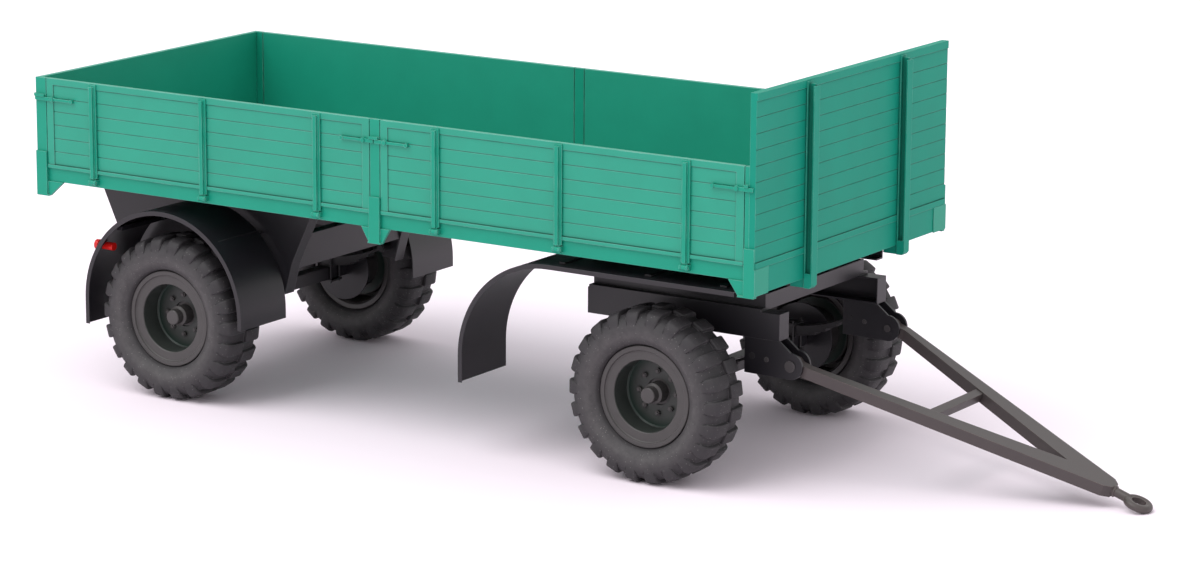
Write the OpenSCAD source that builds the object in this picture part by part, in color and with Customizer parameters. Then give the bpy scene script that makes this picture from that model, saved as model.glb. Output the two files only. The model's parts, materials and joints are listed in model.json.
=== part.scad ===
// Drop-side farm trailer: flat platform with planked fold-down boards and a taller fixed
// headboard, two axles, a turntable front axle and an A-shaped drawbar with a towing eye.
// X runs along the trailer towards the drawbar, Y to its left and Z up; the ground is Z = 0
// and the origin lies on the ground under the middle of the whole length.

// Piece to draw, or "all"

/* [Platform and boards] */
// Length of the platform, tailgate face to headboard face
bed_l = 5000; // [4200:50:6400]
// Width over the closed side boards
bed_w = 2135; // [2060:5:2600]
// Height of the folding boards
board_h = 541; // [440:1:660]
// Thickness of the folding boards
board_t = 30; // [24:1:36]
// Height of the headboard above the folding boards
head_rise = 399; // [300:1:500]
// Plank courses in a folding board
courses = 6; // [4:1:8]
// Gap between a board's end and its post
end_gap = 6; // [4:1:8]

/* [Hinges and latches] */
// Radius of a board hinge pin
hinge_pin_r = 8; // [6:0.5:10]
// Distance of the hinge pin outside the board's face
hinge_out = 12.5; // [11:0.5:15]
// Length of a latch lever's handle
handle_l = 150; // [120:5:180]
// Height of the latch levers below the board's top edge
latch_drop = 124; // [90:2:160]

/* [Wheels and axles] */
// Radius over the tread lugs
tyre_r = 491; // [450:1:560]
// Width of a tyre
tyre_w = 340; // [290:2:380]
// Tread lugs in each of the two rows
lugs = 22; // [16:2:26]
// Radius of the rim's flange
rim_r = 288; // [270:1:300]
// Radius of an axle stub
stub_r = 32; // [26:1:38]
// Distance from the tailgate face to the rear axle
rear_over = 953; // [880:1:1150]
// Distance from the front axle to the headboard face
front_over = 716; // [690:1:900]

/* [Front bogie and drawbar] */
// Outer radius of the turntable rings
ring_r = 470; // [400:5:500]
// Distance from the front axle to the drawbar pins
pin_fwd = 673; // [640:1:760]
// Height of the drawbar pins above the front axle
pin_up = 178; // [140:1:210]
// Distance from the drawbar pins to the centre of the towing eye
bar_l = 1931; // [1600:1:2300]
// Width of a drawbar arm
arm_w = 64; // [54:1:70]
// Radius of the hole in the towing eye
eye_hole_r = 41; // [36:1:46]
// Radius of the round section of the towing eye
eye_bar_r = 21; // [18:1:24]

/* [Hidden] */
$fn = 96;
run_fit = 0.05;
top_of_tyre = 2 * tyre_r;
ys = bed_w / 2;
yi = ys - board_t;

// Heights of the platform, all carried above the tyres.
deck_z = top_of_tyre + 330;
rail_z0 = deck_z - 81;
cross_z0 = deck_z - 90;
beam_z0 = cross_z0 - 140;
floor_t = 30;
board_z0 = deck_z + 3;
board_z1 = board_z0 + board_h;
head_z0 = deck_z - 154;
head_z1 = board_z1 + head_rise;
pocket_z0 = deck_z - 170;
pocket_z1 = deck_z + 100;
latch_z = board_z1 - latch_drop;

// Turntable, bogie and suspension heights.
ring_z = beam_z0 - 36;
ring_gap = 1;
plate_z1 = ring_z - ring_gap - 80;
skirt_f = ring_r + 12;
side_z1 = plate_z1 - 15;
side_z0 = side_z1 - 150;
axle_h = 80;
leaf_t = 14;
leaf_n = 4;
spring_z0 = tyre_r + axle_h / 2 + 12;
spring_sag = 106;
spring_half = 430;
spring_top = spring_z0 + leaf_n * leaf_t;
spring_eye_z = spring_top - leaf_t / 2 + spring_sag;
spring_arc = (spring_half * spring_half + spring_sag * spring_sag) / (2 * spring_sag);

// Positions across the trailer.
tyre_out = ys + 9.5;
wheel_y = tyre_out - tyre_w / 2;
tyre_in = tyre_out - tyre_w;
side_y = tyre_in - 187;
main_y = ring_r - 50;
guard_out = tyre_out;
rear_guard_in = tyre_in - 91;
front_guard_in = tyre_in - 135;
rail_in = ys - 67.5;
rail_out = ys - 10;
rib_y = ys * 0.49;

// Drawbar slope with the towing eye lying on the ground.
pin_z = tyre_r + pin_up;
eye_mid_r = eye_hole_r + eye_bar_r;
bar_a = asin((pin_z - eye_bar_r) / (bar_l + eye_mid_r));
bar_reach = (bar_l + eye_mid_r) * cos(bar_a) + eye_bar_r;

// Positions along the trailer, with the origin under the middle of the whole length.
lug_r = 17;
rear_out = hinge_out + lug_r;
front_reach = pin_fwd - front_over + bar_reach;
xr = rear_out - (rear_out + bed_l + front_reach) / 2;
xf = xr + bed_l;
xm = (xr + xf) / 2;
xa_r = xr + rear_over;
xa_f = xf - front_over;
xp = xa_f + pin_fwd;
post_l = 77;
mid_half = 33;
head_t = 40;
front_post_l = 27;
aft_x0 = xr + post_l + end_gap;
aft_x1 = xm - mid_half - end_gap;
fore_x0 = xm + mid_half + end_gap;
fore_x1 = xf - head_t - front_post_l - end_gap;
aft_straps = [xr + 440, (xr + 440 + xm - 408) / 2, xm - 408];
fore_straps = [xm + 420, (xm + 420 + xf - 433) / 2, xf - 433];
tail_straps = [-0.655 * ys, 0, 0.655 * ys];

// Board hinge line.
yh = ys + hinge_out;
zh = deck_z - 50;
strap_half = 27;
knuckle_half = 15;
knuckle_r = 16;
lip_h = 20;
top_rail = 37;
stile_w = 50;
plank_in = 4;
groove = 3;

// Latch levers.
lever_gap = 1;
lever_t = 12;
lever_pin_r = 8;

// Wheel sections.
seat_r = rim_r - 34;
half_w = tyre_w / 2;
flange_u = half_w - 50;
disc_u = -30;
hub_u = half_w - 81;

module box(x0, x1, y0, y1, z0, z1) {
  translate([x0, y0, z0]) cube([x1 - x0, y1 - y0, z1 - z0]);
}

// Extrudes a shape drawn in X and Z from y0 to y1.
module slab_y(y0, y1) {
  translate([0, y1, 0]) rotate([90, 0, 0]) linear_extrude(y1 - y0) children();
}

// Extrudes a shape drawn in Y and Z from x0 to x1.
module slab_x(x0, x1) {
  translate([x0, 0, 0]) rotate([90, 0, 90]) linear_extrude(x1 - x0) children();
}

module rod_y(x, z, r, y0, y1) {
  translate([x, y0, z]) rotate([-90, 0, 0]) cylinder(r = r, h = y1 - y0);
}

module rod_x(y, z, r, x0, x1) {
  translate([x0, y, z]) rotate([0, 90, 0]) cylinder(r = r, h = x1 - x0);
}

module right() {
  mirror([0, 1, 0]) children();
}

module both() {
  children();
  right() children();
}

// ---------------------------------------------------------------- platform

module load_floor() {
  color([0.16, 0.42, 0.36])
  for (i = [0 : 8]) {
    w = 2 * rail_in / 9;
    box(xr + 60, xf - head_t, -rail_in + i * w, -rail_in + (i + 1) * w - 2, deck_z - floor_t, deck_z);
  }
}

module post_cut() {
  box(xr - 1, xr + post_l, yi, ys + 1, pocket_z0, board_z1);
  box(xm - mid_half, xm + mid_half, yi, ys + 1, pocket_z0, board_z1);
  box(xf - head_t - front_post_l, xf - head_t, yi, ys + 1, pocket_z0, board_z1);
}

module side_rail() {
  difference() {
    box(xr + 10, xf - head_t, rail_in, rail_out, rail_z0, deck_z);
    box(xr + 60, xf, rail_in - 1, rail_out - 8, rail_z0 - 1, deck_z - 8);
    post_cut();
  }
}

module side_rails() {
  color([0.16, 0.47, 0.40]) {
    both() side_rail();
    difference() {
      box(xr + 10, xr + 60, -rail_in + 0.3, rail_in - 0.3, rail_z0, deck_z);
      box(xr + 18, xr + 61, -rail_in - 1, rail_in + 1, rail_z0 + 8, deck_z - 8);
    }
  }
}

module cross_members() {
  n = 9;
  pitch = (xf - head_t - 60 - (xr + 62)) / (n - 1);
  color([0.10, 0.10, 0.11])
  for (i = [0 : n - 1]) {
    x = xr + 62 + i * pitch;
    difference() {
      box(x, x + 50, -rail_in - 20, rail_in + 20, cross_z0, deck_z - floor_t);
      box(x + 6, x + 51, -rail_in - 21, rail_in + 21, cross_z0 + 6, deck_z - floor_t - 6);
    }
  }
}

module main_beams() {
  color([0.09, 0.09, 0.10])
  both() difference() {
    box(xr + 40, xf - head_t - 20, main_y - 35, main_y + 35, beam_z0, cross_z0);
    box(xr + 39, xf - head_t - 19, main_y - 36, main_y + 27, beam_z0 + 9, cross_z0 - 9);
  }
}

module post_pocket(x0, x1, g0, g1, s0, s1) {
  difference() {
    union() {
      box(x0, x1, ys, ys + 12, pocket_z0, pocket_z1);
      box(s0, s1, ys - 20, ys + 12, pocket_z0, pocket_z0 + 8);
      slab_y(ys - 20, ys) polygon([[s0, pocket_z0], [s1, pocket_z0], [g1, rail_z0], [g0, rail_z0]]);
    }
    translate([0, 0, 8]) post_cut_low();
  }
}

module post_cut_low() {
  box(xr - 1, xr + post_l, yi, ys, pocket_z0, board_z1);
  box(xm - mid_half, xm + mid_half, yi, ys, pocket_z0, board_z1);
  box(xf - head_t - front_post_l, xf - head_t, yi, ys, pocket_z0, board_z1);
}

module post_pockets() {
  color([0.20, 0.55, 0.46])
  both() {
    post_pocket(xr, xr + post_l + 2, xr, xr + 194, xr, xr + 91);
    post_pocket(xm - 37, xm + 37, xm - 98, xm + 98, xm - 45, xm + 45);
    difference() {
      post_pocket(xf - head_t - front_post_l + 2, xf, xf - 166, xf, xf - 102, xf);
      box(xf - head_t, xf + 1, ys - 60, ys, head_z0, board_z1);
    }
    box(xf, xf + 6, ys - 133, ys + 12, head_z0 - 4, deck_z - 12);
  }
}

module keeper_x(x0, x1) {
  box(x0, x1, ys, ys + 18, latch_z + 11.6, latch_z + 26);
}

module corner_posts() {
  color([0.20, 0.55, 0.46])
  both() {
    difference() {
      box(xr, xr + post_l, yi, ys, pocket_z0 + 8, board_z1);
      box(xr + 10, xr + 61, rail_in - 20, yi, pocket_z0, deck_z);
    }
    keeper_x(xr + 3, xr + post_l - 3);
    box(xr - 18, xr, yi + 2, ys - 2, latch_z + 11.6, latch_z + 26);
    box(xf - head_t - front_post_l, xf - head_t, yi, ys, pocket_z0 + 8, board_z1);
    keeper_x(xf - head_t - front_post_l + 2, xf - head_t - 1);
  }
}

module middle_posts() {
  color([0.20, 0.55, 0.46])
  both() {
    box(xm - mid_half, xm + mid_half, yi, ys, pocket_z0 + 8, board_z1);
    keeper_x(xm - mid_half + 3, xm + mid_half - 3);
  }
}

// ---------------------------------------------------------------- headboard

module head_plank(i, n, z0, z1) {
  h = (z1 - z0) / n;
  a = z0 + i * h;
  b = a + h;
  x = xf - 1;
  slab_y(-ys, ys) polygon([
    [xf - head_t, a], [x - groove, a], [x, a + groove],
    [x, b - groove], [x - groove, b], [xf - head_t, b]
  ]);
}

module headboard() {
  z0 = deck_z + 23;
  z1 = head_z1 - 44;
  n = floor((z1 - z0) / 87);
  color([0.22, 0.58, 0.49]) {
    box(xf - head_t, xf, -ys, ys, head_z0, deck_z - 12);
    box(xf - head_t, xf + 4, -ys, ys, deck_z - 12, z0);
    for (i = [0 : n - 1]) {
      head_plank(i, n, z0, z1);
    }
    box(xf - head_t, xf + 4, -ys, ys, z1, head_z1);
  }
}

module headboard_rib() {
  z0 = head_z0 - 52;
  z1 = head_z1 - 8;
  box(xf + 4, xf + 11, rib_y - 29, rib_y + 29, head_z0 + 30, z1);
  box(xf + 11, xf + 45, rib_y - 6, rib_y + 6, head_z0 + 30, z1 - 12);
  box(xf + 45, xf + 54, rib_y - 29, rib_y + 29, head_z0 + 30, z1 - 24);
  slab_y(rib_y - 29, rib_y + 29) polygon([
    [xf + 4, z0], [xf + 40, z0], [xf + 54, z0 + 16], [xf + 54, head_z0 + 30], [xf + 4, head_z0 + 30]
  ]);
  box(xf - 84, xf + 4, rib_y - 20, rib_y + 20, z0, head_z0);
}

module headboard_ribs() {
  color([0.20, 0.55, 0.46])
  both() headboard_rib();
}

// ---------------------------------------------------------------- folding boards

module board_plank(a0, a1, i) {
  h = (board_h - lip_h - top_rail) / courses;
  z0 = board_z0 + lip_h + i * h;
  z1 = z0 + h;
  y = ys - plank_in;
  slab_x(a0, a1) polygon([
    [yi, z0], [y - groove, z0], [y, z0 + groove], [y, z1 - groove], [y - groove, z1], [yi, z1]
  ]);
}

module board(a0, a1, straps) {
  difference() {
    box(a0, a1, yi, ys + 4, board_z0, board_z0 + lip_h);
    for (s = straps) {
      box(s - strap_half, s + strap_half, ys, ys + 5, board_z0 - 1, board_z0 + lip_h + 1);
    }
  }
  for (i = [0 : courses - 1]) {
    board_plank(a0 + stile_w, a1 - stile_w, i);
  }
  box(a0, a0 + stile_w, yi, ys, board_z0 + lip_h, board_z1 - top_rail);
  box(a1 - stile_w, a1, yi, ys, board_z0 + lip_h, board_z1 - top_rail);
  box(a0, a1, yi, ys, board_z1 - top_rail, board_z1);
}

module strap(s) {
  difference() {
    union() {
      box(s - strap_half, s + strap_half, ys, ys + 9, zh + 25, board_z1 - 6);
      box(s - 11, s + 11, ys + 9, ys + 24, zh + 25, board_z1 - 18);
      box(s - knuckle_half, s + knuckle_half, ys, ys + 9, zh, zh + 25);
      rod_x(yh, zh, knuckle_r, s - knuckle_half, s + knuckle_half);
    }
    rod_x(yh, zh, hinge_pin_r + run_fit, s - 40, s + 40);
  }
}

module lever_pin(x) {
  rod_y(x, latch_z, lever_pin_r, ys, ys + lever_gap + lever_t + 2);
  rod_y(x, latch_z, lever_pin_r + 5, ys + lever_gap + lever_t + 1, ys + lever_gap + lever_t + 6);
}

module strap_set(straps, pins) {
  for (s = straps) {
    strap(s);
  }
  for (p = pins) {
    lever_pin(p);
  }
}

aft_pins = [xr + 130, xm - 75];
fore_pins = [xm + 75, xf - 115];
tail_pins = [-(yi - 62), yi - 62];

module board_front_left() {
  color([0.24, 0.60, 0.51]) board(fore_x0, fore_x1, fore_straps);
}

module board_front_right() {
  color([0.24, 0.60, 0.51]) right() board(fore_x0, fore_x1, fore_straps);
}

module board_rear_left() {
  color([0.24, 0.60, 0.51]) board(aft_x0, aft_x1, aft_straps);
}

module board_rear_right() {
  color([0.24, 0.60, 0.51]) right() board(aft_x0, aft_x1, aft_straps);
}

module straps_front_left() {
  color([0.20, 0.55, 0.46]) strap_set(fore_straps, fore_pins);
}

module straps_front_right() {
  color([0.20, 0.55, 0.46]) right() strap_set(fore_straps, fore_pins);
}

module straps_rear_left() {
  color([0.20, 0.55, 0.46]) strap_set(aft_straps, aft_pins);
}

module straps_rear_right() {
  color([0.20, 0.55, 0.46]) right() strap_set(aft_straps, aft_pins);
}

// Turns a board drawn on the left side so that it stands at the rear end.
module at_tail() {
  translate([xr + ys, 0, 0]) rotate([0, 0, 90]) children();
}

module tailgate() {
  color([0.24, 0.60, 0.51]) at_tail() board(-(yi - 4), yi - 4, tail_straps);
}

module tailgate_straps() {
  color([0.20, 0.55, 0.46]) at_tail() strap_set(tail_straps, tail_pins);
}

module hinge_bracket(s) {
  for (x = [s - strap_half, s + knuckle_half + 1.5]) {
    w = strap_half - knuckle_half - 1.5;
    difference() {
      union() {
        rod_x(yh, zh, lug_r, x, x + w);
        box(x, x + w, ys - 10, yh, zh - lug_r, zh + lug_r);
      }
      rod_x(yh, zh, hinge_pin_r + run_fit, x - 1, x + w + 1);
    }
  }
  rod_x(yh, zh, hinge_pin_r, s - strap_half - 2, s + strap_half + 2);
}

module hinge_brackets() {
  color([0.20, 0.55, 0.46]) {
    both() {
      for (s = aft_straps) {
        hinge_bracket(s);
      }
      for (s = fore_straps) {
        hinge_bracket(s);
      }
    }
    at_tail() for (s = tail_straps) {
      hinge_bracket(s);
    }
  }
}

// Latch lever on a pin at p; the handle points along d and the nose the other way.
module lever(p, d, nose) {
  y0 = ys + lever_gap;
  difference() {
    union() {
      slab_y(y0, y0 + lever_t) union() {
        translate([p, latch_z]) circle(r = 17);
        translate([p + (d > 0 ? -nose : 0), latch_z - 11]) square([nose, 22]);
        translate([p + (d > 0 ? 0 : -handle_l), latch_z - 8]) square([handle_l, 16]);
      }
      rod_y(p + d * handle_l, latch_z, 12, y0, y0 + lever_t + 5);
    }
    rod_y(p, latch_z, lever_pin_r + run_fit, y0 - 1, y0 + lever_t + 1);
  }
}

module lever_front_left() {
  color([0.20, 0.55, 0.46]) lever(fore_pins[1], -1, 103);
}

module lever_front_right() {
  color([0.20, 0.55, 0.46]) right() lever(fore_pins[1], -1, 103);
}

module lever_fore_mid_left() {
  color([0.20, 0.55, 0.46]) lever(fore_pins[0], 1, 71);
}

module lever_fore_mid_right() {
  color([0.20, 0.55, 0.46]) right() lever(fore_pins[0], 1, 71);
}

module lever_aft_mid_left() {
  color([0.20, 0.55, 0.46]) lever(aft_pins[1], -1, 71);
}

module lever_aft_mid_right() {
  color([0.20, 0.55, 0.46]) right() lever(aft_pins[1], -1, 71);
}

module lever_rear_left() {
  color([0.20, 0.55, 0.46]) lever(aft_pins[0], 1, 126);
}

module lever_rear_right() {
  color([0.20, 0.55, 0.46]) right() lever(aft_pins[0], 1, 126);
}

module lever_tail_left() {
  color([0.20, 0.55, 0.46]) at_tail() lever(tail_pins[1], -1, 88);
}

module lever_tail_right() {
  color([0.20, 0.55, 0.46]) at_tail() lever(tail_pins[0], 1, 88);
}

// ---------------------------------------------------------------- axles and springs

module hanger_shape(x) {
  polygon([
    [x - 888, cross_z0], [x + 784, cross_z0], [x + 593, side_z0 + 22], [x + 538, side_z0 - 173],
    [x + 390, side_z0 - 173], [x + 350, side_z0 - 30], [x - 350, side_z0 - 30],
    [x - 390, side_z0 - 173], [x - 644, side_z0 - 173], [x - 699, side_z0 + 22]
  ]);
}

module hanger_inside(x) {
  polygon([
    [x - 866, cross_z0 - 10], [x + 762, cross_z0 - 10], [x + 582, side_z0 + 22],
    [x + 527, side_z0 - 193], [x - 633, side_z0 - 193], [x - 688, side_z0 + 22]
  ]);
}

module rear_hangers() {
  color([0.09, 0.09, 0.10]) {
    both() difference() {
      slab_y(side_y - 40, side_y + 50) hanger_shape(xa_r);
      slab_y(side_y - 41, side_y + 38) hanger_inside(xa_r);
    }
    for (x = [xa_r - 684, xa_r + 500]) {
      difference() {
        box(x, x + 75, -(side_y - 40.3), side_y - 40.3, side_z0 - 25, side_z0 + 165);
        box(x + 7, x + 68, -side_y, side_y, side_z0 - 18, side_z0 + 158);
      }
    }
  }
}

// One spring leaf, numbered from the top one down.
module leaf(x, k) {
  zc = spring_top + spring_arc - leaf_t / 2;
  r1 = spring_arc + k * leaf_t;
  reach = spring_half - (k == 0 ? 0 : 30 + k * 70);
  slab_y(side_y - 35, side_y + 35) intersection() {
    translate([x, zc]) difference() {
      circle(r = r1 + leaf_t / 2, $fn = 360);
      circle(r = r1 - leaf_t / 2, $fn = 360);
    }
    translate([x - reach, spring_z0 - 40]) square([2 * reach, 240 + spring_sag]);
  }
}

module spring(x) {
  difference() {
    union() {
      leaf(x, 0);
      for (d = [-1, 1]) {
        rod_y(x + d * spring_half, spring_eye_z, 27, side_y - 35, side_y + 35);
      }
    }
    spring_pins(x, 18 + run_fit, side_y - 36, side_y + 36);
  }
  for (k = [1 : leaf_n - 1]) {
    leaf(x, k);
  }
  box(x - 60, x + 60, side_y - 35, side_y + 35, tyre_r + axle_h / 2, spring_z0 - 0.8);
  bolt_rows(x, 7);
  for (z = [spring_top + 2.6, tyre_r - axle_h / 2 - 12]) {
    difference() {
      box(x - 62, x + 62, side_y - 56, side_y + 56, z, z + 12);
      bolt_rows(x, 7 + run_fit);
    }
  }
}

// Legs of the two U-bolts that hold a spring to its axle.
module bolt_rows(x, r) {
  for (d = [-1, 1]) {
    for (e = [-1, 1]) {
      rod_z(x + d * 48, side_y + e * 45, r, tyre_r - axle_h / 2 - 22, spring_top + 30);
    }
  }
}

module rod_z(x, y, r, z0, z1) {
  translate([x, y, z0]) cylinder(r = r, h = z1 - z0);
}

module spring_pins(x, r, y0, y1) {
  for (d = [-1, 1]) {
    rod_y(x + d * spring_half, spring_eye_z, r, y0, y1);
  }
}

module axle(x) {
  box(x - axle_h / 2, x + axle_h / 2, -(tyre_in - 50), tyre_in - 50,
    tyre_r - axle_h / 2, tyre_r + axle_h / 2);
  both() {
    rod_y(x, tyre_r, stub_r, tyre_in - 50, wheel_y + 55);
    difference() {
      rod_y(x, tyre_r, 205, tyre_in - 47, tyre_in - 39);
      rod_y(x, tyre_r, stub_r, tyre_in - 48, tyre_in - 38);
    }
  }
}

module rear_springs() {
  color([0.11, 0.11, 0.12])
  both() {
    spring(xa_r);
    spring_pins(xa_r, 18, side_y - 40, side_y + 38);
  }
}

module front_springs() {
  color([0.11, 0.11, 0.12])
  both() {
    spring(xa_f);
    spring_pins(xa_f, 18, side_y - 52, side_y + 52);
  }
}

module rear_axle() {
  color([0.10, 0.10, 0.11]) axle(xa_r);
}

module front_axle() {
  color([0.10, 0.10, 0.11]) axle(xa_f);
}

// ---------------------------------------------------------------- mudguards and lamps

// Half-round guard in X and Z, seen from the side, with straight legs down to za and zb.
module arch(x, z, r, t, za, zb) {
  difference() {
    circle_at(x, z, r);
    circle_at(x, z, r - t);
    translate([x - r - 1, z - r - 1]) square([2 * r + 2, r + 1]);
  }
  translate([x - r, za]) square([t, z - za]);
  translate([x + r - t, zb]) square([t, z - zb]);
}

module circle_at(x, z, r) {
  translate([x, z]) circle(r = r, $fn = 180);
}

module rear_mudguards() {
  x = xa_r - 8;
  z = tyre_r + 64;
  r = tyre_r + 97;
  color([0.08, 0.08, 0.09])
  both() {
    difference() {
      slab_y(rear_guard_in, guard_out - 5) arch(x, z, r, 5, z - 160, z - 55);
      lamp(lamp_r + 1);
    }
    slab_y(guard_out - 5, guard_out) arch(x, z, r, 26, z - 160, z - 55);
    for (d = [-0.62, 0.62]) {
      box(x + d * r - 20, x + d * r + 20, side_y + 50, rear_guard_in, z + 0.72 * r, z + 0.72 * r + 8);
      box(x + d * r - 20, x + d * r + 20, rear_guard_in, guard_out - 60, z + 0.72 * r, z + 0.7625 * r);
    }
  }
}

module front_arch(t, x1) {
  x = xa_f - 614;
  z = tyre_r + 79;
  r = tyre_r + 104;
  difference() {
    circle_at(x, z, r);
    circle_at(x, z, r - t);
    translate([x - r - 1, z - r - 1]) square([2 * r + 2, r + 1]);
    translate([x, z - 1]) square([r + 1, r + 2]);
  }
  translate([x - r, z - 155]) square([t, 155]);
  translate([x, z + r - t]) square([x1 - x, t]);
}

module front_mudguards() {
  z1 = 2 * tyre_r + 183;
  color([0.08, 0.08, 0.09])
  both() {
    slab_y(front_guard_in, guard_out - 5) front_arch(5, xa_f + 590);
    slab_y(guard_out - 5, guard_out) front_arch(26, xa_f + 590);
    for (x = [xa_f - 560, xa_f, xa_f + 480]) {
      box(x - 20, x + 20, main_y + 35, guard_out - 80, z1, z1 + 8);
    }
  }
}

lamp_r = 24;

module lamp(r) {
  rod_x(ys - 68, tyre_r + 379, r, xa_r - 545, xa_r - 430);
}

module rear_lamps() {
  color([0.75, 0.05, 0.05])
  both() difference() {
    union() {
      lamp(lamp_r);
      rod_x(ys - 68, tyre_r + 379, lamp_r + 8, xa_r - 560, xa_r - 535);
    }
  }
}

// ---------------------------------------------------------------- turntable and bogie

module ring_shape(z0, z1) {
  translate([xa_f, 0, z0]) difference() {
    cylinder(r = ring_r, h = z1 - z0, $fn = 180);
    translate([0, 0, -1]) cylinder(r = ring_r - 90, h = z1 - z0 + 2, $fn = 180);
  }
}

module upper_ring() {
  color([0.12, 0.12, 0.13]) {
    ring_shape(ring_z, beam_z0 - 12);
    difference() {
      box(xa_f - ring_r, xa_f + ring_r, -main_y - 35, main_y + 35, beam_z0 - 12, beam_z0);
      rod_z(xa_f, 0, 30 + run_fit, beam_z0 - 20, beam_z0 + 10);
    }
  }
}

module king_pin() {
  color([0.20, 0.20, 0.21])
  union() {
    rod_z(xa_f, 0, 30, plate_z1 - 80, beam_z0 + 10);
    rod_z(xa_f, 0, 52, beam_z0, beam_z0 + 22);
    translate([xa_f, 0, plate_z1 - 112]) cylinder(r = 55, h = 36, $fn = 6);
  }
}

module lower_ring() {
  z0 = plate_z1;
  z1 = ring_z - ring_gap;
  color([0.10, 0.10, 0.11])
  difference() {
    ring_shape(z0, z1);
    translate([xa_f, 0, z0 + 12]) difference() {
      cylinder(r = ring_r + 1, h = z1 - z0 - 24, $fn = 180);
      translate([0, 0, -1]) cylinder(r = ring_r - 50, h = z1 - z0, $fn = 180);
    }
  }
}

module bogie_frame() {
  x0 = xa_f - 648;
  x1 = xa_f + 602;
  color([0.09, 0.09, 0.10]) {
    both() {
      difference() {
        box(x0, x1, side_y - 50, side_y + 50, side_z0, side_z1);
        box(x0 - 1, x1 - 8, side_y - 51, side_y + 42, side_z0 + 8, side_z1 - 8);
      }
      for (y = [side_y - 46, side_y + 36.5]) {
        difference() {
          slab_y(y, y + 9.5) union() {
            translate([xa_f - spring_half, spring_eye_z]) circle(r = 32);
            translate([xa_f - spring_half - 32, spring_eye_z]) square([64, side_z0 - spring_eye_z]);
          }
          spring_pins(xa_f, 18 + run_fit, side_y - 60, side_y + 60);
        }
      }
    }
    for (d = [-430, -170, 170]) {
      difference() {
        box(xa_f + d - 30, xa_f + d + 30, -(side_y - 50), side_y - 50, side_z0 + 30, side_z1);
        box(xa_f + d - 31, xa_f + d + 24, -(side_y - 49), side_y - 49, side_z0 + 36, side_z1 - 6);
      }
    }
    difference() {
      union() {
        box(xa_f - 640, xa_f + skirt_f, -(side_y + 50), side_y + 50, side_z1, plate_z1);
        difference() {
          box(xa_f - 640, xa_f + skirt_f, -side_y, side_y, plate_z1 - 1, ring_z - 6);
          box(xa_f - 632, xa_f + skirt_f - 8, -side_y + 8, side_y - 8, plate_z1 - 2, ring_z);
        }
        rod_z(xa_f, 0, 70, plate_z1 - 70, plate_z1 - 1);
      }
      rod_z(xa_f, 0, 30 + run_fit, plate_z1 - 90, plate_z1 + 1);
    }
  }
}

fork_in = 36.5;
fork_t = 14;
pin_r = 20;

module drawbar_lugs() {
  color([0.09, 0.09, 0.10])
  both() for (y = [side_y - fork_in - fork_t, side_y + fork_in]) {
    difference() {
      slab_y(y, y + fork_t) union() {
        translate([xp, pin_z]) circle(r = 75);
        polygon([
          [xp - 291, side_z0], [xp - 71, side_z0], [xp, pin_z + 75], [xp, pin_z - 75], [xp - 291, pin_z - 69]
        ]);
      }
      rod_y(xp, pin_z, pin_r + run_fit, y - 1, y + fork_t + 1);
      rod_y(xp - 150, pin_z + 20, 14 + run_fit, y - 1, y + fork_t + 1);
      spring_pins(xa_f, 18 + run_fit, y - 1, y + fork_t + 1);
    }
  }
}

module drawbar_pins() {
  color([0.22, 0.22, 0.23])
  both() {
    rod_y(xp, pin_z, pin_r, side_y - fork_in - fork_t - 8, side_y + fork_in + fork_t + 2);
    rod_y(xp, pin_z, pin_r + 12, side_y + fork_in + fork_t, side_y + fork_in + fork_t + 8);
    rod_y(xp - 150, pin_z + 20, 14, side_y - fork_in - fork_t - 4, side_y + fork_in + fork_t + 4);
  }
}

// ---------------------------------------------------------------- drawbar

// Places a drawbar drawn level from its pins at the origin, X running to the eye.
module on_pins() {
  translate([xp, 0, pin_z]) rotate([0, bar_a, 0]) children();
}

nose_s = bar_l - 195;
root_s = 95;
apex_s = bar_l - 461;
brace_s = 748;
arm_h = 64;

module arm_outer(s) {
  polygon([
    [0, s * (side_y + arm_w / 2)], [root_s, s * (side_y + arm_w / 2)], [nose_s, s * 75],
    [nose_s + 40, s * 34], [nose_s + 40, 0], [apex_s, 0],
    [root_s, s * (side_y - arm_w / 2)], [0, s * (side_y - arm_w / 2)]
  ]);
}

module drawbar_arms() {
  color([0.17, 0.15, 0.14])
  on_pins() difference() {
    union() {
      translate([0, 0, -arm_h / 2]) linear_extrude(arm_h) union() {
        arm_outer(1);
        arm_outer(-1);
      }
      both() rod_y(0, 0, 44, side_y - arm_w / 2 - 3, side_y + arm_w / 2 + 3);
    }
    both() rod_y(0, 0, pin_r + run_fit, side_y - arm_w, side_y + arm_w);
  }
}

module drawbar_brace() {
  k = (side_y - arm_w / 2) / (apex_s - root_s);
  ya = (apex_s - brace_s + 26) * k;
  yb = (apex_s - brace_s - 26) * k;
  color([0.17, 0.15, 0.14])
  on_pins() translate([0, 0, -25]) linear_extrude(50)
  polygon([[brace_s - 26, -ya], [brace_s + 26, -yb], [brace_s + 26, yb], [brace_s - 26, ya]]);
}

module tow_eye() {
  color([0.20, 0.17, 0.15])
  on_pins() difference() {
    union() {
      translate([bar_l, 0, 0]) rotate_extrude() union() {
        translate([eye_mid_r, 0]) circle(r = eye_bar_r);
        translate([eye_hole_r, -17]) square([eye_bar_r, 34]);
      }
      rod_x(0, 0, 26, nose_s + 40.2, bar_l - eye_mid_r + 8);
      rod_x(0, 0, 33, nose_s + 40.2, nose_s + 52);
    }
    rod_z(bar_l, 0, eye_hole_r, -60, 60);
  }
}

// ---------------------------------------------------------------- wheels

// Stands a wheel drawn around Z on its axle, the outer face towards +Z.
module on_axle(x) {
  translate([x, wheel_y, tyre_r]) rotate([-90, 0, 0]) children();
}

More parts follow.
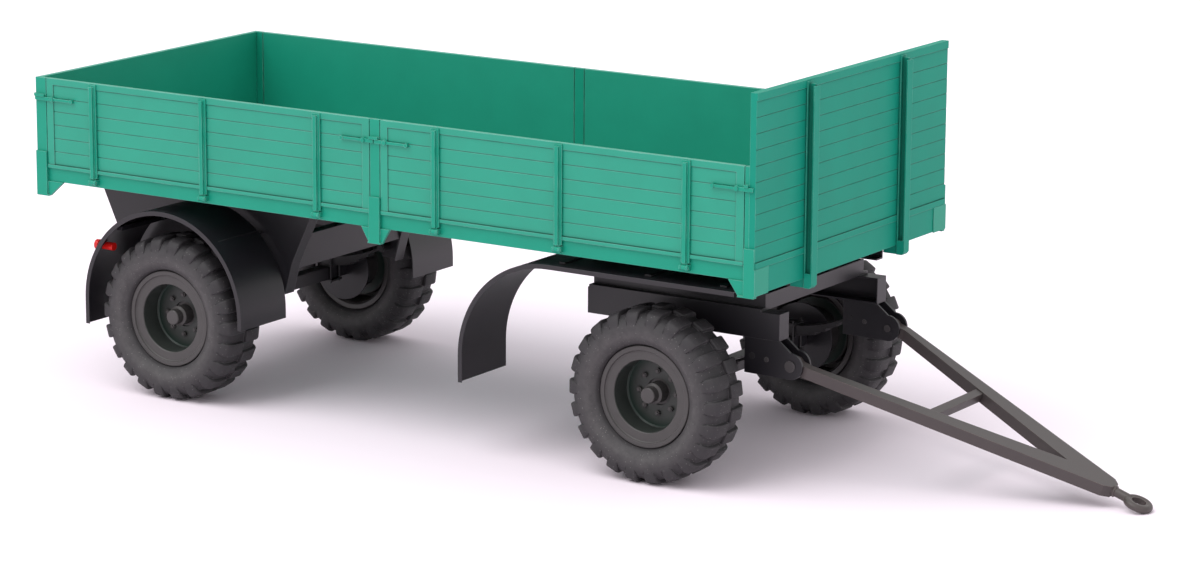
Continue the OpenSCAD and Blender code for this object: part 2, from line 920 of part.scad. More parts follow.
module tyre() {
  bulge_r = 92;
  bulge_u = half_w - bulge_r;
  bulge_c = rim_r + 90;
  difference() {
    rotate_extrude($fn = 180) difference() {
      union() {
        translate([seat_r, -92]) square([60, 184]);
        translate([rim_r + 9, -bulge_u]) square([tyre_r - 22 - rim_r - 9, 2 * bulge_u]);
        translate([rim_r + 60, -118]) square([tyre_r - 22 - rim_r - 60, 236]);
        translate([bulge_c, bulge_u]) circle(r = bulge_r);
        translate([bulge_c, -bulge_u]) circle(r = bulge_r);
      }
      translate([seat_r - 1, -72]) square([60, 144]);
      translate([bulge_c - 70, -bulge_u]) square([tyre_r - 44 - bulge_c + 70, 2 * bulge_u]);
      translate([bulge_c, bulge_u]) circle(r = bulge_r - 22);
      translate([bulge_c, -bulge_u]) circle(r = bulge_r - 22);
    }
    rotate_extrude($fn = 180) translate([tyre_r - 22, -200]) square([100, 400]);
  }
  for (i = [0 : lugs - 1]) {
    for (d = [-1, 1]) {
      a = 360 / lugs * (i + (d > 0 ? 0 : 0.5));
      rotate([0, 0, a]) lug(d);
    }
  }
}

// One tread lug, drawn on the +X side of the tyre; d picks the row.
module lug(d) {
  c = 0.55 * 3.1416 * tyre_r / lugs;
  u = half_w;
  t = tyre_r;
  translate([0, c, 0]) rotate([90, 0, 0]) linear_extrude(2 * c)
  polygon([
    [t - 36, d * 6], [t, d * 6], [t, d * (u - 46)], [t - 30, d * (u - 13)], [t - 64, d * (u - 13)],
    [t - 64, d * (u - 30)]
  ]);
}

module rim() {
  f = rim_r;
  b = seat_r;
  w = flange_u;
  difference() {
    rotate_extrude($fn = 144) polygon([
      [75, disc_u - 12], [75, disc_u], [195, disc_u], [203, disc_u + 8], [203, w - 18],
      [208, w - 12], [b + 1, w - 12], [b + 5, w - 8], [b + 8, w], [f - 4, w], [f, w - 4],
      [f, w - 14], [b + 10, w - 18], [b, 92], [b, -92], [b + 10, -w + 18], [f, -w + 14],
      [f, -w + 4], [f - 4, -w], [b + 4, -w + 4], [b - 8, -w + 24], [b - 8, w - 24], [211, w - 24],
      [211, disc_u - 4], [203, disc_u - 12]
    ]);
    for (i = [0 : 7]) {
      rotate([0, 0, i * 45]) translate([120, 0, disc_u - 20]) cylinder(r = 9.5, h = 30);
    }
  }
}

module hub() {
  n = -(tyre_w / 2 + 35);
  r = stub_r + run_fit;
  rotate_extrude() polygon([
    [r, n], [52, n], [52, disc_u - 32], [140, disc_u - 32], [140, n], [150, n], [150, disc_u - 12],
    [60, disc_u - 12], [60, hub_u - 59], [45, hub_u - 51], [45, hub_u - 5], [40, hub_u],
    [0, hub_u], [0, 62], [r, 62]
  ]);
  for (i = [0 : 7]) {
    rotate([0, 0, i * 45]) translate([120, 0, disc_u - 12]) union() {
      cylinder(r = 9, h = 34);
      translate([0, 0, 12]) cylinder(r = 16, h = 15, $fn = 6);
    }
  }
}

module tyre_front_left() {
  color([0.10, 0.10, 0.10]) on_axle(xa_f) tyre();
}

module tyre_front_right() {
  color([0.10, 0.10, 0.10]) right() on_axle(xa_f) tyre();
}

module tyre_rear_left() {
  color([0.10, 0.10, 0.10]) on_axle(xa_r) tyre();
}

module tyre_rear_right() {
  color([0.10, 0.10, 0.10]) right() on_axle(xa_r) tyre();
}

module rim_front_left() {
  color([0.16, 0.17, 0.16]) on_axle(xa_f) rim();
}

module rim_front_right() {
  color([0.16, 0.17, 0.16]) right() on_axle(xa_f) rim();
}

module rim_rear_left() {
  color([0.16, 0.17, 0.16]) on_axle(xa_r) rim();
}

module rim_rear_right() {
  color([0.16, 0.17, 0.16]) right() on_axle(xa_r) rim();
}

module hub_front_left() {
  color([0.15, 0.16, 0.15]) on_axle(xa_f) hub();
}

module hub_front_right() {
  color([0.15, 0.16, 0.15]) right() on_axle(xa_f) hub();
}

module hub_rear_left() {
  color([0.15, 0.16, 0.15]) on_axle(xa_r) hub();
}

module hub_rear_right() {
  color([0.15, 0.16, 0.15]) right() on_axle(xa_r) hub();
}

load_floor();
side_rails();
cross_members();
main_beams();
headboard();
headboard_ribs();
corner_posts();
middle_posts();
post_pockets();
hinge_brackets();
rear_hangers();
rear_springs();
rear_axle();
rear_mudguards();
front_mudguards();
rear_lamps();
upper_ring();
king_pin();
lower_ring();
bogie_frame();
front_springs();
front_axle();
drawbar_lugs();
drawbar_pins();
drawbar_arms();
drawbar_brace();
tow_eye();
tyre_front_right();
rim_front_right();
hub_front_right();
tyre_front_left();
rim_front_left();
hub_front_left();
tyre_rear_right();
rim_rear_right();
hub_rear_right();
tyre_rear_left();
rim_rear_left();
hub_rear_left();
board_front_right();
straps_front_right();
board_front_left();
straps_front_left();
board_rear_right();
straps_rear_right();
board_rear_left();
straps_rear_left();
tailgate();
tailgate_straps();
lever_front_right();
lever_front_left();
lever_fore_mid_right();
lever_fore_mid_left();
lever_aft_mid_right();
lever_aft_mid_left();
lever_rear_right();
lever_rear_left();
lever_tail_right();
lever_tail_left();
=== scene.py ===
import bmesh
import bpy
import json
from math import cos, pi, radians, sin
from mathutils import Matrix, Vector

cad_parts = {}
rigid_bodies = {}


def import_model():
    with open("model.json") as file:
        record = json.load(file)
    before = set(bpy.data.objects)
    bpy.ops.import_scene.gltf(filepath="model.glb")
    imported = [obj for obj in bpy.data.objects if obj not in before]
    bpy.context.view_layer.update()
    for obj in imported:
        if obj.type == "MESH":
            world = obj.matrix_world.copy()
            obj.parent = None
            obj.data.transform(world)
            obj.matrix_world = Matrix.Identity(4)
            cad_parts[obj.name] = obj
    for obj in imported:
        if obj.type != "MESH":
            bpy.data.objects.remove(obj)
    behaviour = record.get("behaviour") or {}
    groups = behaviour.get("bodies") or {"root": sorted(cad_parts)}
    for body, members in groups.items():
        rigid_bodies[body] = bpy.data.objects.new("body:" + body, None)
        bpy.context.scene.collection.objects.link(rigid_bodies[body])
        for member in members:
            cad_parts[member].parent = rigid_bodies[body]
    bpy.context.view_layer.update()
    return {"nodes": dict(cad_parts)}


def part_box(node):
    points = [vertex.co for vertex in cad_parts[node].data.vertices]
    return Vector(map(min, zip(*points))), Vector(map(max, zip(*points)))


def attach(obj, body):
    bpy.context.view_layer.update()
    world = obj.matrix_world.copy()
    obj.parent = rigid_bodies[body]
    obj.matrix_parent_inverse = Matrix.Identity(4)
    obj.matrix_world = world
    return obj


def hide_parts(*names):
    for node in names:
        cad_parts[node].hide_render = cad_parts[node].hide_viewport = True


bpy.ops.object.select_all(action="SELECT")
bpy.ops.object.delete()
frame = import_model()
nodes = frame["nodes"]
bpy.ops.object.select_all(action="DESELECT")


# ---------------------------------------------------------------- camera
# A long lens a little above the boards, ahead of the trailer's front right
# corner, so that the right side runs across the picture and the headboard shows.

heading, look_down, roll = radians(32.875), radians(12.6725), radians(0.3359)
turn = (Matrix.Rotation(heading, 3, "Z") @ Matrix.Rotation(pi / 2 - look_down, 3, "X")
        @ Matrix.Rotation(roll, 3, "Z"))
bpy.ops.object.camera_add()
camera = bpy.context.object
camera.data.lens = 118.212
camera.data.sensor_width = 36.0
camera.data.clip_end = 200.0
camera.rotation_euler = turn.to_euler()
aim, stand_off = Vector((-0.9166, 0, 0)), Vector((0.7003, 0.7022, 23.4696))
camera.location = aim + turn @ stand_off
bpy.context.scene.camera = camera


# ---------------------------------------------------------------- floor and studio light
# A plain pale floor that runs out of sight, a soft white surround, and one
# broad lamp high on the left that lays a faint shadow under the trailer.

bpy.ops.mesh.primitive_plane_add(size=400)
floor = bpy.context.object
floor.name = "studio_floor"
floor_paint = bpy.data.materials.new("studio_floor_paint")
floor_paint.use_nodes = True
floor_shader = floor_paint.node_tree.nodes["Principled BSDF"]
floor_shader.inputs["Base Color"].default_value = (0.96, 0.865, 0.945, 1)
floor_shader.inputs["Roughness"].default_value = 1.0
floor_shader.inputs["Specular IOR Level"].default_value = 0.0
floor.data.materials.append(floor_paint)

surround = bpy.data.worlds.new("studio_surround")
surround.use_nodes = True
surround.node_tree.nodes["Background"].inputs["Color"].default_value = (1, 1, 1, 1)
surround.node_tree.nodes["Background"].inputs["Strength"].default_value = 1.0
bpy.context.scene.world = surround
bpy.context.scene.view_settings.view_transform = "Standard"

bpy.ops.object.light_add(type="SUN", rotation=(radians(28), radians(-16), 0))
lamp = bpy.context.object
lamp.name = "studio_lamp"
lamp.data.energy = 1.5
lamp.data.angle = radians(50)


# ---------------------------------------------------------------- painted bed
# Planked boards, pressed rails, posts and ironwork, all sprayed in one satin
# green. The paint has a fine orange peel; its edges are painted pale, partly rubbed and partly a
# painted highlight.

def group_socket(group, way, kind, name, value=None):
    socket = group.interface.new_socket(name=name, in_out=way, socket_type=kind)
    if value is not None:
        socket.default_value = value


# Edge mask: marks edges for paler paint, partly rubbed wear and partly a painted highlight.
def make_edge_group():
    group = bpy.data.node_groups.new("rubbed_and_highlit_edge", "ShaderNodeTree")
    group_socket(group, "INPUT", "NodeSocketFloat", "Radius", 0.002)
    group_socket(group, "INPUT", "NodeSocketFloat", "Grain Scale", 400.0)
    group_socket(group, "INPUT", "NodeSocketFloat", "Grain Height", 0.0002)
    group_socket(group, "OUTPUT", "NodeSocketFloat", "Edge")
    group_socket(group, "OUTPUT", "NodeSocketVector", "Normal")
    n, link = group.nodes, group.links.new
    entry, out = n.new("NodeGroupInput"), n.new("NodeGroupOutput")
    place, shape = n.new("ShaderNodeTexCoord"), n.new("ShaderNodeNewGeometry")
    bevel = n.new("ShaderNodeBevel")
    bevel.samples = 6
    link(entry.outputs["Radius"], bevel.inputs["Radius"])
    turned = n.new("ShaderNodeVectorMath")
    turned.operation = "DOT_PRODUCT"
    link(bevel.outputs["Normal"], turned.inputs[0])
    link(shape.outputs["Normal"], turned.inputs[1])
    edge = n.new("ShaderNodeMapRange")
    edge.inputs["From Min"].default_value = 0.998
    edge.inputs["From Max"].default_value = 0.84
    link(turned.outputs["Value"], edge.inputs["Value"])
    patch = n.new("ShaderNodeTexNoise")
    patch.inputs["Scale"].default_value = 9.0
    patch.inputs["Detail"].default_value = 5.0
    link(place.outputs["Object"], patch.inputs["Vector"])
    rub_and_highlight = n.new("ShaderNodeMapRange")
    rub_and_highlight.inputs["From Min"].default_value = 0.36
    rub_and_highlight.inputs["From Max"].default_value = 0.62
    rub_and_highlight.inputs["To Min"].default_value = 0.25
    link(patch.outputs["Fac"], rub_and_highlight.inputs["Value"])
    both = n.new("ShaderNodeMath")
    both.operation = "MULTIPLY"
    link(edge.outputs["Result"], both.inputs[0])
    link(rub_and_highlight.outputs["Result"], both.inputs[1])
    link(both.outputs["Value"], out.inputs["Edge"])
    grain = n.new("ShaderNodeTexNoise")
    grain.inputs["Detail"].default_value = 3.0
    link(place.outputs["Object"], grain.inputs["Vector"])
    link(entry.outputs["Grain Scale"], grain.inputs["Scale"])
    bump = n.new("ShaderNodeBump")
    bump.inputs["Strength"].default_value = 0.6
    link(entry.outputs["Grain Height"], bump.inputs["Distance"])
    link(grain.outputs["Fac"], bump.inputs["Height"])
    link(bevel.outputs["Normal"], bump.inputs["Normal"])
    link(bump.outputs["Normal"], out.inputs["Normal"])
    return group


def make_tone_group():
    group = bpy.data.node_groups.new("paint_tone", "ShaderNodeTree")
    group_socket(group, "INPUT", "NodeSocketFloat", "Scale", 3.0)
    group_socket(group, "INPUT", "NodeSocketFloat", "Spread", 0.06)
    group_socket(group, "INPUT", "NodeSocketColor", "Color", (0.5, 0.5, 0.5, 1))
    group_socket(group, "INPUT", "NodeSocketFloat", "Roughness", 0.4)
    group_socket(group, "OUTPUT", "NodeSocketColor", "Color")
    group_socket(group, "OUTPUT", "NodeSocketFloat", "Roughness")
    n, link = group.nodes, group.links.new
    entry, out = n.new("NodeGroupInput"), n.new("NodeGroupOutput")
    place = n.new("ShaderNodeTexCoord")
    cloud = n.new("ShaderNodeTexNoise")
    cloud.inputs["Detail"].default_value = 6.0
    cloud.inputs["Roughness"].default_value = 0.62
    link(place.outputs["Object"], cloud.inputs["Vector"])
    link(entry.outputs["Scale"], cloud.inputs["Scale"])
    centred = n.new("ShaderNodeMath")
    centred.operation = "SUBTRACT"
    centred.inputs[1].default_value = 0.5
    link(cloud.outputs["Fac"], centred.inputs[0])
    spread = n.new("ShaderNodeMath")
    spread.operation = "MULTIPLY"
    link(centred.outputs["Value"], spread.inputs[0])
    link(entry.outputs["Spread"], spread.inputs[1])
    gain = n.new("ShaderNodeMath")
    gain.operation = "MULTIPLY_ADD"
    gain.inputs[1].default_value = 4.0
    gain.inputs[2].default_value = 1.0
    link(spread.outputs["Value"], gain.inputs[0])
    tint = n.new("ShaderNodeVectorMath")
    tint.operation = "SCALE"
    link(entry.outputs["Color"], tint.inputs[0])
    link(gain.outputs["Value"], tint.inputs["Scale"])
    link(tint.outputs["Vector"], out.inputs["Color"])
    rough = n.new("ShaderNodeMath")
    rough.operation = "ADD"
    link(entry.outputs["Roughness"], rough.inputs[0])
    link(spread.outputs["Value"], rough.inputs[1])
    link(rough.outputs["Value"], out.inputs["Roughness"])
    return group


edge_group = make_edge_group()
tone_group = make_tone_group()


def paint(name, colour, worn_and_highlit, wear_and_highlight, rough, radius, spread=0.06, scale=3.0,
          grain=(400.0, 0.0002), metal=0.0):
    made = bpy.data.materials.new(name)
    made.use_nodes = True
    n, link = made.node_tree.nodes, made.node_tree.links.new
    shader = n["Principled BSDF"]
    tone = n.new("ShaderNodeGroup")
    tone.node_tree = tone_group
    tone.inputs["Scale"].default_value = scale
    tone.inputs["Spread"].default_value = spread
    tone.inputs["Color"].default_value = (*colour, 1)
    tone.inputs["Roughness"].default_value = rough
    edge = n.new("ShaderNodeGroup")
    edge.node_tree = edge_group
    edge.inputs["Radius"].default_value = radius
    edge.inputs["Grain Scale"].default_value = grain[0]
    edge.inputs["Grain Height"].default_value = grain[1]
    # Along the edges the paint is mixed toward the edge colour: rubbed wear and a painted
    # highlight together.
    amount = n.new("ShaderNodeMath")
    amount.operation = "MULTIPLY"
    amount.inputs[1].default_value = wear_and_highlight
    link(edge.outputs["Edge"], amount.inputs[0])
    mix = n.new("ShaderNodeMix")
    mix.data_type = "RGBA"
    link(amount.outputs["Value"], mix.inputs["Factor"])
    link(tone.outputs["Color"], mix.inputs["A"])
    mix.inputs["B"].default_value = (*worn_and_highlit, 1)
    link(mix.outputs["Result"], shader.inputs["Base Color"])
    link(tone.outputs["Roughness"], shader.inputs["Roughness"])
    link(edge.outputs["Normal"], shader.inputs["Normal"])
    shader.inputs["Metallic"].default_value = metal
    return made


def add_colour(material, mask, colour):
    n, link = material.node_tree.nodes, material.node_tree.links.new
    target = n["Principled BSDF"].inputs["Base Color"]
    mix = n.new("ShaderNodeMix")
    mix.data_type = "RGBA"
    link(mask, mix.inputs["Factor"])
    link(target.links[0].from_socket, mix.inputs["A"])
    mix.inputs["B"].default_value = (*colour, 1)
    link(mix.outputs["Result"], target)


def finish(material, names):
    for name in names:
        nodes[name].data.materials.clear()
        nodes[name].data.materials.append(material)


board_paint = paint("green_board_paint", (0.006, 0.285, 0.190), (0.24, 0.55, 0.47),
                    0.75, 0.44, 0.005)
# The headboard takes a darker copy of the board paint; its darker green is painted shade on the
# headboard's face.
shaded_headboard_paint = paint("green_headboard_shaded_paint", (0.004, 0.250, 0.172), (0.20, 0.50, 0.42),
                        0.75, 0.55, 0.005)
# Painted shade: grooves and inner corners of the boards and headboard are darkened toward a deep
# green where ambient occlusion finds them hollow.
for made in (board_paint, shaded_headboard_paint):
    n, link = made.node_tree.nodes, made.node_tree.links.new
    hollow = n.new("ShaderNodeAmbientOcclusion")
    hollow.only_local = True
    hollow.samples = 8
    hollow.inputs["Distance"].default_value = 0.03
    painted_groove_shade = n.new("ShaderNodeMapRange")
    painted_groove_shade.inputs["From Min"].default_value = 0.95
    painted_groove_shade.inputs["From Max"].default_value = 0.60
    painted_groove_shade.inputs["To Max"].default_value = 1.0
    link(hollow.outputs["AO"], painted_groove_shade.inputs["Value"])
    add_colour(made, painted_groove_shade.outputs["Result"], (0.003, 0.120, 0.080))
steel_paint = paint("green_steel_paint", (0.006, 0.275, 0.182), (0.26, 0.57, 0.49),
                    0.85, 0.42, 0.004)
for made, shine in ((shaded_headboard_paint, 0.18), (steel_paint, 0.25)):
    made.node_tree.nodes["Principled BSDF"].inputs["Specular IOR Level"].default_value = shine
floor_boards = paint("green_floor_paint", (0.012, 0.230, 0.160), (0.10, 0.34, 0.27),
                     0.6, 0.60, 0.003, 0.12, 2.0)
finish(board_paint, [n for n in nodes if n.startswith("board_")] + ["tailgate"])
finish(shaded_headboard_paint, ["headboard", "headboard_ribs"])
finish(steel_paint, [n for n in nodes if n.startswith(("straps_", "lever_"))] + [
    "tailgate_straps", "side_rails", "corner_posts", "middle_posts", "post_pockets",
    "hinge_brackets"])
finish(floor_boards, ["load_floor"])


# ---------------------------------------------------------------- load floor planks
# The floor's planks run the length of the bed, tongued together with a fine
# open joint between them, and are scuffed along their length by the loads.

plank_width = 0.1525
n, link = floor_boards.node_tree.nodes, floor_boards.node_tree.links.new
place, across = n.new("ShaderNodeTexCoord"), n.new("ShaderNodeSeparateXYZ")
link(place.outputs["Object"], across.inputs["Vector"])
widths = n.new("ShaderNodeMath")
widths.operation = "MULTIPLY"
widths.inputs[1].default_value = 1 / plank_width
link(across.outputs["Y"], widths.inputs[0])
within = n.new("ShaderNodeMath")
within.operation = "FRACT"
link(widths.outputs["Value"], within.inputs[0])
aside = n.new("ShaderNodeMath")
aside.operation = "SUBTRACT"
aside.inputs[1].default_value = 0.5
link(within.outputs["Value"], aside.inputs[0])
out_of_middle = n.new("ShaderNodeMath")
out_of_middle.operation = "ABSOLUTE"
link(aside.outputs["Value"], out_of_middle.inputs[0])
joint = n.new("ShaderNodeMapRange")
joint.inputs["From Min"].default_value = 0.475
joint.inputs["From Max"].default_value = 0.492
link(out_of_middle.outputs["Value"], joint.inputs["Value"])
stretch = n.new("ShaderNodeMapping")
stretch.inputs["Scale"].default_value = (1.2, 26.0, 26.0)
link(place.outputs["Object"], stretch.inputs["Vector"])
scuff = n.new("ShaderNodeTexNoise")
scuff.inputs["Scale"].default_value = 2.0
scuff.inputs["Detail"].default_value = 8.0
link(stretch.outputs["Vector"], scuff.inputs["Vector"])
rubbed = n.new("ShaderNodeMapRange")
rubbed.inputs["From Min"].default_value = 0.50
rubbed.inputs["From Max"].default_value = 0.80
rubbed.inputs["To Max"].default_value = 0.45
link(scuff.outputs["Fac"], rubbed.inputs["Value"])
add_colour(floor_boards, rubbed.outputs["Result"], (0.10, 0.26, 0.20))
add_colour(floor_boards, joint.outputs["Result"], (0.002, 0.055, 0.040))
sunk = n.new("ShaderNodeBump")
sunk.invert = True
sunk.inputs["Distance"].default_value = 0.004
link(joint.outputs["Result"], sunk.inputs["Height"])
target = n["Principled BSDF"].inputs["Normal"]
link(target.links[0].from_socket, sunk.inputs["Normal"])
link(sunk.outputs["Normal"], target)


# ---------------------------------------------------------------- chassis and running gear
# Welded beams, hangers, turntable and axles in satin black, dull with road dust;
# the edges are painted paler, partly rubbed grey metal and partly a painted highlight.

chassis_paint = paint("chassis_black_paint", (0.010, 0.009, 0.012), (0.11, 0.10, 0.11),
                      0.6, 0.40, 0.004, 0.10, 5.0)
spring_paint = paint("spring_black_paint", (0.014, 0.013, 0.015), (0.09, 0.08, 0.085),
                     0.7, 0.50, 0.002, 0.12, 7.0)
guard_paint = paint("mudguard_black_paint", (0.011, 0.010, 0.013), (0.12, 0.11, 0.12),
                    0.5, 0.36, 0.003, 0.08, 4.0)
finish(chassis_paint, ["main_beams", "cross_members", "rear_hangers", "rear_axle", "front_axle",
                       "upper_ring", "lower_ring", "bogie_frame", "drawbar_lugs"])
finish(spring_paint, ["rear_springs", "front_springs"])
finish(guard_paint, ["rear_mudguards", "front_mudguards"])

drawbar_paint = paint("drawbar_worn_paint", (0.055, 0.044, 0.044), (0.20, 0.155, 0.145),
                      0.75, 0.48, 0.005, 0.12, 6.0)
eye_steel = paint("forged_eye_steel", (0.060, 0.048, 0.046), (0.22, 0.17, 0.16),
                  0.7, 0.46, 0.006, 0.15, 14.0)
pin_steel = paint("pin_steel", (0.055, 0.050, 0.052), (0.25, 0.24, 0.24),
                  0.6, 0.40, 0.003, 0.12, 18.0, metal=0.3)
finish(drawbar_paint, ["drawbar_arms", "drawbar_brace"])
finish(eye_steel, ["tow_eye"])
finish(pin_steel, ["king_pin", "drawbar_pins"])


# ---------------------------------------------------------------- tyres
# Wide cross-ply tyres with two rows of blocks that run over the shoulders. The
# rubber is dull, pale with dust beside the rim and speckled on the blocks.

def pick_faces(piece, test):
    shape = bmesh.from_edit_mesh(piece.data)
    bpy.ops.mesh.select_all(action="DESELECT")
    for face in shape.faces:
        if test(face.calc_center_median(), face.normal):
            face.select_set(True)
    shape.select_flush_mode()
    bmesh.update_edit_mesh(piece.data)


crown, weld_gap = 0.468, 0.00005
side = []
for step in range(19):
    swing = radians(-76 + step * 124 / 18)
    bulge = 0.092 + (0.003 if 3 <= step <= 4 else 0.0012 if step in (9, 12) else 0.0)
    side.append((0.078 + bulge * cos(swing), 0.378 + bulge * sin(swing)))
half_outline = [(0.088, 0.262), (0.094, 0.286)] + side + [(0.118, 0.463), (0.060, 0.467)]
outline = ([(-y, z) for y, z in half_outline] + [(0.0, crown)]
           + [(y, z) for y, z in reversed(half_outline)])

bpy.ops.mesh.primitive_plane_add(size=0.002)
tyre = bpy.context.object
bpy.ops.object.mode_set(mode="EDIT")
bpy.ops.mesh.merge(type="CENTER")
bpy.ops.transform.translate(value=(0, outline[0][0], outline[0][1]))
for (y0, z0), (y1, z1) in zip(outline, outline[1:]):
    bpy.ops.mesh.extrude_region_move(TRANSFORM_OT_translate={"value": (0, y1 - y0, z1 - z0)})
bpy.ops.mesh.select_all(action="SELECT")
bpy.ops.mesh.spin(steps=132, angle=2 * pi, center=(0, 0, 0), axis=(0, 1, 0))
bpy.ops.mesh.select_all(action="SELECT")
bpy.ops.mesh.remove_doubles(threshold=weld_gap)
bpy.ops.mesh.normals_make_consistent(inside=False)
bpy.ops.object.mode_set(mode="OBJECT")

blocks_round = 22
blocks = []
for row in (1, -1):
    bpy.ops.mesh.primitive_cube_add(size=1, location=(0, row * 0.034, 0.472))
    block = bpy.context.object
    block.scale = (0.076, 0.056, 0.036)
    bpy.ops.object.transform_apply(location=True, rotation=True, scale=True)
    bpy.ops.object.mode_set(mode="EDIT")
    pick_faces(block, lambda place, normal: normal.y * row > 0.9)
    for out, down, wide, tall in ((0.046, -0.001, 1.06, 1.0), (0.034, -0.013, 1.0, 1.0),
                                  (0.017, -0.026, 0.90, 0.94), (0.007, -0.031, 0.78, 0.85)):
        bpy.ops.mesh.extrude_region_move(TRANSFORM_OT_translate={"value": (0, row * out, down)})
        bpy.ops.transform.resize(value=(wide, 1, tall))
    bpy.ops.mesh.select_all(action="SELECT")
    bpy.ops.mesh.normals_make_consistent(inside=False)
    bpy.ops.mesh.bevel(offset=0.008, segments=2, affect="EDGES")
    bpy.ops.mesh.select_all(action="SELECT")
    bpy.ops.transform.rotate(value=(0 if row > 0 else pi / blocks_round), orient_axis="Y",
                             center_override=(0, 0, 0))
    bpy.ops.mesh.spin(steps=blocks_round, angle=2 * pi, dupli=True,
                      center=(0, 0, 0), axis=(0, 1, 0))
    bpy.ops.mesh.select_all(action="SELECT")
    bpy.ops.mesh.remove_doubles(threshold=weld_gap)
    bpy.ops.object.mode_set(mode="OBJECT")
    blocks.append(block)
bpy.ops.object.select_all(action="DESELECT")
for piece in blocks + [tyre]:
    piece.select_set(True)
bpy.context.view_layer.objects.active = tyre
bpy.ops.object.join()
bpy.ops.object.shade_smooth_by_angle(angle=radians(40))
reach = tyre.data.attributes.new("reach", "FLOAT", "POINT")
reach.data.foreach_set("value", [(v.co.x ** 2 + v.co.z ** 2) ** 0.5 for v in tyre.data.vertices])


def make_speck_group():
    group = bpy.data.node_groups.new("pale_specks", "ShaderNodeTree")
    group_socket(group, "INPUT", "NodeSocketFloat", "Scale", 60.0)
    group_socket(group, "INPUT", "NodeSocketFloat", "Size", 0.12)
    group_socket(group, "OUTPUT", "NodeSocketFloat", "Mask")
    n, link = group.nodes, group.links.new
    entry, out = n.new("NodeGroupInput"), n.new("NodeGroupOutput")
    place = n.new("ShaderNodeTexCoord")
    cells = n.new("ShaderNodeTexVoronoi")
    link(place.outputs["Object"], cells.inputs["Vector"])
    link(entry.outputs["Scale"], cells.inputs["Scale"])
    dot = n.new("ShaderNodeMapRange")
    dot.inputs["From Min"].default_value = 0.0
    dot.inputs["To Min"].default_value = 1.0
    dot.inputs["To Max"].default_value = 0.0
    link(entry.outputs["Size"], dot.inputs["From Max"])
    link(cells.outputs["Distance"], dot.inputs["Value"])
    few = n.new("ShaderNodeSeparateColor")
    link(cells.outputs["Color"], few.inputs["Color"])
    kept = n.new("ShaderNodeMath")
    kept.operation = "GREATER_THAN"
    kept.inputs[1].default_value = 0.62
    link(few.outputs["Red"], kept.inputs[0])
    mask = n.new("ShaderNodeMath")
    mask.operation = "MULTIPLY"
    link(dot.outputs["Result"], mask.inputs[0])
    link(kept.outputs["Value"], mask.inputs[1])
    link(mask.outputs["Value"], out.inputs["Mask"])
    return group


# The rubber's edges also take the paler edge colour, partly rubbed and partly a painted
# highlight.
tyre_rubber = paint("tyre_rubber", (0.019, 0.017, 0.020), (0.10, 0.095, 0.10),
                    0.75, 0.66, 0.006, 0.22, 9.0,
                    grain=(500.0, 0.0012))
n, link = tyre_rubber.node_tree.nodes, tyre_rubber.node_tree.links.new
far_out = n.new("ShaderNodeAttribute")
far_out.attribute_name = "reach"
halo = n.new("ShaderNodeValToRGB")
halo.color_ramp.elements[0].position = 0.285
halo.color_ramp.elements[0].color = (0.15, 0.15, 0.15, 1)
halo.color_ramp.elements[1].position = 0.345
halo.color_ramp.elements[1].color = (0.70, 0.70, 0.70, 1)
fade = halo.color_ramp.elements.new(0.43)
fade.color = (0.08, 0.08, 0.08, 1)
link(far_out.outputs["Fac"], halo.inputs["Fac"])
drift = n.new("ShaderNodeTexNoise")
drift.inputs["Scale"].default_value = 22.0
drift.inputs["Detail"].default_value = 8.0
drift.inputs["Roughness"].default_value = 0.7
place = n.new("ShaderNodeTexCoord")
link(place.outputs["Object"], drift.inputs["Vector"])
dusty = n.new("ShaderNodeMath")
dusty.operation = "MULTIPLY"
link(halo.outputs["Color"], dusty.inputs[0])
link(drift.outputs["Fac"], dusty.inputs[1])
add_colour(tyre_rubber, dusty.outputs["Value"], (0.14, 0.132, 0.132))
specks = n.new("ShaderNodeGroup")
specks.node_tree = make_speck_group()
specks.inputs["Scale"].default_value = 70.0
specks.inputs["Size"].default_value = 0.20
faint = n.new("ShaderNodeMath")
faint.operation = "MULTIPLY"
faint.inputs[1].default_value = 0.8
link(specks.outputs["Mask"], faint.inputs[0])
add_colour(tyre_rubber, faint.outputs["Value"], (0.30, 0.29, 0.28))
tyre.data.materials.clear()
tyre.data.materials.append(tyre_rubber)

corners = ("front_right", "front_left", "rear_right", "rear_left")
for corner in corners:
    low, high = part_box("tyre_" + corner)
    fitted = tyre.copy()
    fitted.data = tyre.data.copy()
    fitted.name = "tread_" + corner
    bpy.context.scene.collection.objects.link(fitted)
    fitted.data.transform(Matrix.Translation((low + high) / 2))
    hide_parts("tyre_" + corner)
    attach(fitted, "wheel_" + corner)
bpy.data.objects.remove(tyre)


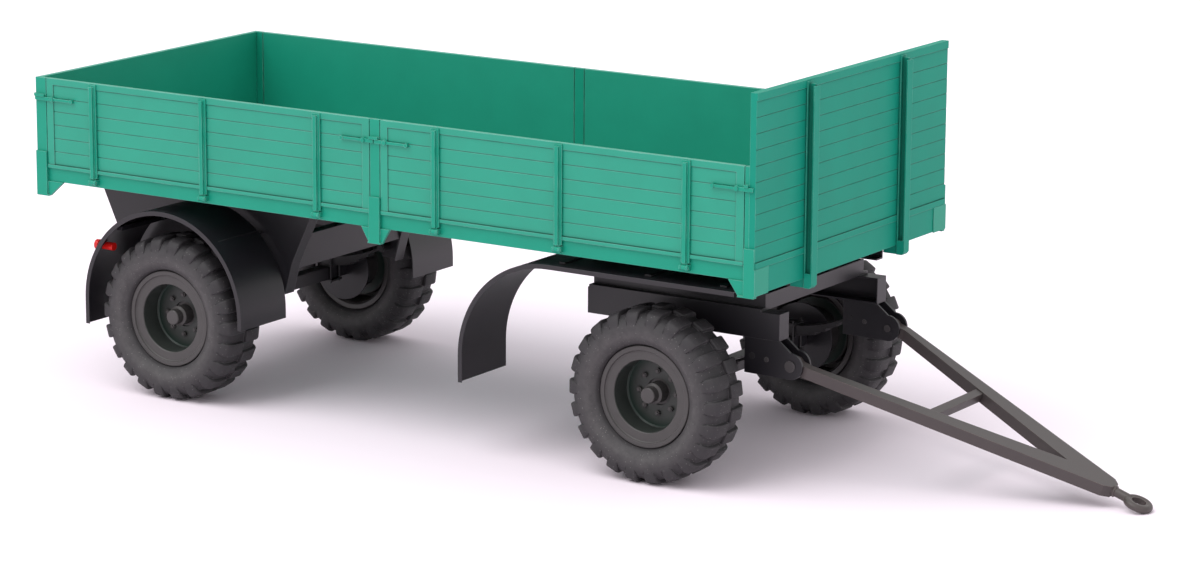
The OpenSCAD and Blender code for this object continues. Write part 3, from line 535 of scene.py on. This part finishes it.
# ---------------------------------------------------------------- rims, hubs and lamps
# Pressed rims with a rolled edge, grey outside and dark green in the dish, on
# cast hubs with eight nuts. The rear guards carry small red lamps.

def rim_finish(name, node):
    made = paint(name, (0.050, 0.046, 0.046), (0.13, 0.12, 0.12), 0.7, 0.45, 0.004, 0.14, 10.0)
    n, link = made.node_tree.nodes, made.node_tree.links.new
    low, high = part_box(node)
    place, centred = n.new("ShaderNodeTexCoord"), n.new("ShaderNodeMapping")
    centred.vector_type = "POINT"
    centred.inputs["Location"].default_value = (-(low.x + high.x) / 2, 0, -(low.z + high.z) / 2)
    centred.inputs["Scale"].default_value = (1, 0, 1)
    link(place.outputs["Object"], centred.inputs["Vector"])
    far = n.new("ShaderNodeVectorMath")
    far.operation = "LENGTH"
    link(centred.outputs["Vector"], far.inputs[0])
    dish = n.new("ShaderNodeMapRange")
    dish.inputs["From Min"].default_value = 0.206
    dish.inputs["From Max"].default_value = 0.200
    link(far.outputs["Value"], dish.inputs["Value"])
    disc = n.new("ShaderNodeMapRange")
    disc.inputs["From Min"].default_value = 0.150
    disc.inputs["From Max"].default_value = 0.192
    disc.inputs["To Min"].default_value = 0.45
    link(far.outputs["Value"], disc.inputs["Value"])
    green = n.new("ShaderNodeMath")
    green.operation = "MULTIPLY"
    link(dish.outputs["Result"], green.inputs[0])
    link(disc.outputs["Result"], green.inputs[1])
    add_colour(made, green.outputs["Value"], (0.006, 0.020, 0.014))
    return made


rim_front = rim_finish("front_rim_paint", "rim_front_right")
rim_rear = rim_finish("rear_rim_paint", "rim_rear_right")
hub_paint = paint("hub_grey_paint", (0.050, 0.046, 0.046), (0.14, 0.13, 0.13),
                  0.7, 0.42, 0.004, 0.14, 12.0)
lens = paint("red_lens", (0.60, 0.010, 0.008), (0.75, 0.10, 0.08),
             0.3, 0.22, 0.003, 0.05, 30.0)
finish(rim_front, ["rim_front_right", "rim_front_left"])
finish(rim_rear, ["rim_rear_right", "rim_rear_left"])
finish(hub_paint, ["hub_" + corner for corner in corners])
finish(lens, ["rear_lamps"])
